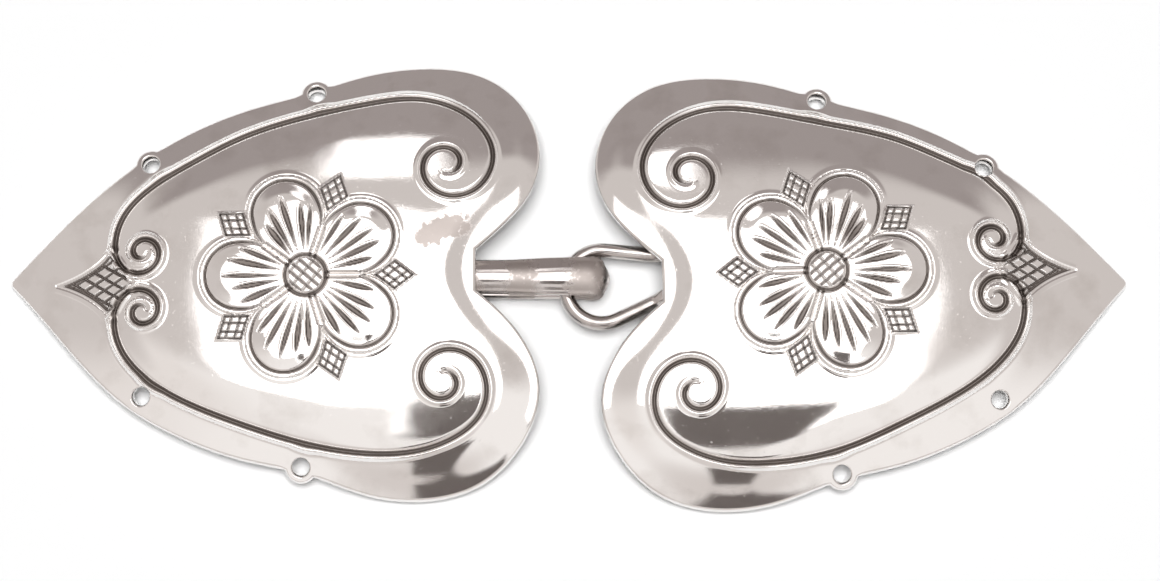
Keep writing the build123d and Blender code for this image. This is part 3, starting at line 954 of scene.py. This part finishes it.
def polishedPewter(name, finish):
    # pewter buffed by hand: the eye gets a bright mirror that swims a little over the soft metal, hair-fine
    # buffing lines, a few dull clouds, grey oxide where the buff never reached, and rougher patches of
    # painted shade where a mesh layer marks them
    material, tree = newMaterial(name)
    place = addNode(tree, "ShaderNodeTexCoord").outputs["Object"]
    sunk = addNode(tree, "ShaderNodeAttribute", {"attribute_name": "sunk"}).outputs["Fac"]
    paintedShade = addNode(tree, "ShaderNodeAttribute", {"attribute_name": "paintedShade"}).outputs["Fac"]
    swim = noise(tree, place, pattern["swim"], 1)
    clouds = spread(tree, noise(tree, place, pattern["clouds"], 4), 0.50, 0.72, 0, 1)
    grain = noise(tree, place, pattern["grain"])
    hairs = noise(tree, place, pattern["hairs"], 3, (1, 26, 26), radians(pattern["hairTurn"]))
    crossed = noise(tree, place, pattern["crossed"], 2, (30, 1, 30), radians(pattern["crossedTurn"]))
    pits = spread(tree, noise(tree, place, pattern["pits"]), 0.69, 0.74, 0, 1)
    # the patches of painted shade, which are rougher too, have a broken edge
    uneven = arithmetic(tree, "ADD", *[noise(tree, place, perMetre) for perMetre in pattern["shadeEdge"]])
    shadeAndRough = arithmetic(tree, "ADD", paintedShade, spread(tree, uneven, 0.6, 1.4, -0.4, 0.4))
    shadeAndRough = spread(tree, shadeAndRough, 0.40, 0.62, 0, 1)
    colour = blend(tree, clouds, finish["bright"], finish["dull"])
    # painted shade darkens the colour in the marked patches
    colour = blend(tree, shadeAndRough, colour, pattern["paintedShadeColour"])
    colour = blend(tree, spread(tree, sunk, 0.12, 0.75, 0, 1), colour, finish["oxide"])
    rough = spread(tree, clouds, 0, 1, finish["polish"], finish["polish"] + finish["wear"])
    # what each pattern adds to the roughness, and over which part of its range
    for source, low, high, more in ((hairs, 0.45, 0.75, 0.03), (pits, 0, 1, 0.10), (shadeAndRough, 0, 1, 0.30),
                                    (sunk, 0.1, 1, 0.35)):
        rough = arithmetic(tree, "ADD", rough, spread(tree, source, low, high, 0, more))
    shader = addNode(tree, "ShaderNodeBsdfPrincipled", {"Metallic": 1.0}, Base_Color=colour, Roughness=rough)
    layers = [(swim, finish["wave"]), (hairs, 0.0000009), (crossed, 0.0000006), (grain, 0.0000005),
              (pits, -0.0000012)]
    tree.links.new(bumps(tree, layers), shader.inputs["Normal"])
    out = addNode(tree, "ShaderNodeOutputMaterial")
    tree.links.new(shader.outputs["BSDF"], out.inputs["Surface"])
    return material


castPewter = polishedPewter("buffed_cast_pewter", castFinish)
drawnPewter = polishedPewter("drawn_pewter_strap_and_wire", drawnFinish)
for obj, material in ((leftHeart, castPewter), (rightHeart, castPewter),
                      (strap, drawnPewter), (eyeWire, drawnPewter)):
    obj.data.materials.clear()
    obj.data.materials.append(material)
    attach(obj, "root")
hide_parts("heart_with_hook")
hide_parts("heart_with_hook")
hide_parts("heart_with_eye")
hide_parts("heart_with_eye")


# floor, light and camera

stage = {
    "floor": "#f7f7f7", "floorEdges": (-6, 6, -6, 6), "worldStrength": 1.15,
    # tones of the sky that the polish mirrors, and where each begins and is full, as shares of a
    # direction along x and y; the sides are counted without their sign
    "walls": "#cac4c1", "front": "#f1eeec", "frontLeft": "#e4dfdc", "low": "#d2ccc9", "beyond": "#9c9492",
    "frontY": (0.02, -0.30), "frontSides": (0.72, 0.55), "frontLeftX": (-0.25, -0.48),
    "lowY": (-0.60, -0.84), "beyondY": (0.48, 0.60), "beyondSides": (0.62, 0.42),
    # boards that the polish mirrors: left, right, near and far edge, and how bright
    "boardHeight": 0.4,
    "boards": {"ceiling_left": (-0.150, -0.030, -0.112, 0.165, 1.7),
               "ceiling_right": (-0.030, 0.145, -0.180, 0.160, 1.7),
               "window": (-0.080, -0.005, 0.225, 0.340, 1.3)},
    "cards": [(-0.024, 0.095, -0.195, -0.098), (-0.015, 0.105, -0.640, -0.300)],
    "cardDrop": 0.002, "cardColour": "#6a625f",
    "skylight": 3.35, "skylightSpread": 32,
    "elevation": 79.5, "distance": 0.42, "lens": 133, "sensor": 36, "aim": (0.00108, -0.00065, 0.003),
}


def mattPaint(name, colour):
    # dead flat paint, without a glint to draw the eye
    material, tree = newMaterial(name)
    settings = {"Base Color": linear(colour), "Roughness": 0.9}
    paint = addNode(tree, "ShaderNodeBsdfPrincipled", settings)
    out = addNode(tree, "ShaderNodeOutputMaterial")
    tree.links.new(paint.outputs["BSDF"], out.inputs["Surface"])
    return material


def levelSheet(name, edges, height, material):
    x0, x1, y0, y1 = edges
    bm = bmesh.new()
    bmesh.ops.create_grid(bm, x_segments=1, y_segments=1, size=0.5)
    bmesh.ops.scale(bm, verts=bm.verts, vec=(x1 - x0, y1 - y0, 1))
    bmesh.ops.translate(bm, verts=bm.verts, vec=((x0 + x1) / 2, (y0 + y1) / 2, height))
    sheet = meshObject(name, bm)
    sheet.data.materials.append(material)
    return sheet


floor = levelSheet("floor", stage["floorEdges"], 0, mattPaint("matt_white_board", stage["floor"]))


def studioWorld():
    # what the polish mirrors beside the boards, by direction: grey walls, a darker one beyond the
    # clasp and a pale one in front
    world = bpy.data.worlds.new("studio")
    bpy.context.scene.world = world
    world.use_nodes = True
    tree = world.node_tree
    split = addNode(tree, "ShaderNodeSeparateXYZ")
    tree.links.new(addNode(tree, "ShaderNodeTexCoord").outputs["Generated"], split.inputs[0])
    x, y = split.outputs["X"], split.outputs["Y"]
    wide = arithmetic(tree, "ABSOLUTE", x)

    def zone(*bands):
        # where every band holds; a band rises from 0 at its first value to 1 at its second
        result = None
        for source, start, end in bands:
            edge = spread(tree, source, start, end, 0, 1, True)
            result = arithmetic(tree, "MULTIPLY", result, edge) if result else edge
        return result

    front = blend(tree, zone((x, *stage["frontLeftX"])), stage["front"], stage["frontLeft"])
    inFront = zone((y, *stage["frontY"]), (wide, *stage["frontSides"]))
    colour = blend(tree, inFront, stage["walls"], front)
    colour = blend(tree, zone((y, *stage["lowY"])), colour, stage["low"])
    inBeyond = zone((y, *stage["beyondY"]), (wide, *stage["beyondSides"]))
    colour = blend(tree, inBeyond, colour, stage["beyond"])
    tree.links.new(colour, tree.nodes["Background"].inputs["Color"])
    tree.nodes["Background"].inputs["Strength"].default_value = stage["worldStrength"]
    world.cycles_visibility.diffuse = False


studioWorld()


def areaLight(name, edges, height, light):
    # a level lamp that shines down, light being how bright its face looks
    x0, x1, y0, y1 = edges
    lamp = bpy.data.lights.new(name, "AREA")
    lamp.shape = "RECTANGLE"
    lamp.size, lamp.size_y = x1 - x0, y1 - y0
    lamp.energy = light * pi * lamp.size * lamp.size_y
    obj = placed(name, lamp)
    obj.location = ((x0 + x1) / 2, (y0 + y1) / 2, height)
    obj.visible_camera = False
    return obj


# a broad skylight straight above lights the floor evenly; the polish doesn't mirror it
lamp = bpy.data.lights.new("skylight", "SUN")
lamp.energy = stage["skylight"]
lamp.angle = radians(stage["skylightSpread"])
skylight = placed("skylight", lamp)
skylight.location = (0, 0, 1)
skylight.visible_glossy = False
for name, (x0, x1, y0, y1, light) in stage["boards"].items():
    areaLight(name + "_board", (x0, x1, y0, y1), stage["boardHeight"], light).visible_diffuse = False

# dark cards in front of the ceiling boards, seen only in the polish
cardMaterial = mattPaint("matt_black_card", stage["cardColour"])
for edges in stage["cards"]:
    card = levelSheet("black_card", edges, stage["boardHeight"] - stage["cardDrop"], cardMaterial)
    card.visible_camera = card.visible_diffuse = card.visible_shadow = False

lookFrom = radians(stage["elevation"])
aim = Vector(stage["aim"])
camera = bpy.data.cameras.new("camera")
camera.lens = stage["lens"]
camera.sensor_width = stage["sensor"]
cameraObject = placed("camera", camera)
cameraObject.location = aim + stage["distance"] * Vector((0, -cos(lookFrom), sin(lookFrom)))
cameraObject.rotation_euler = (aim - cameraObject.location).to_track_quat("-Z", "Y").to_euler()
bpy.context.scene.camera = cameraObject
bpy.context.scene.view_settings.view_transform = "Standard"
print("stage ready")
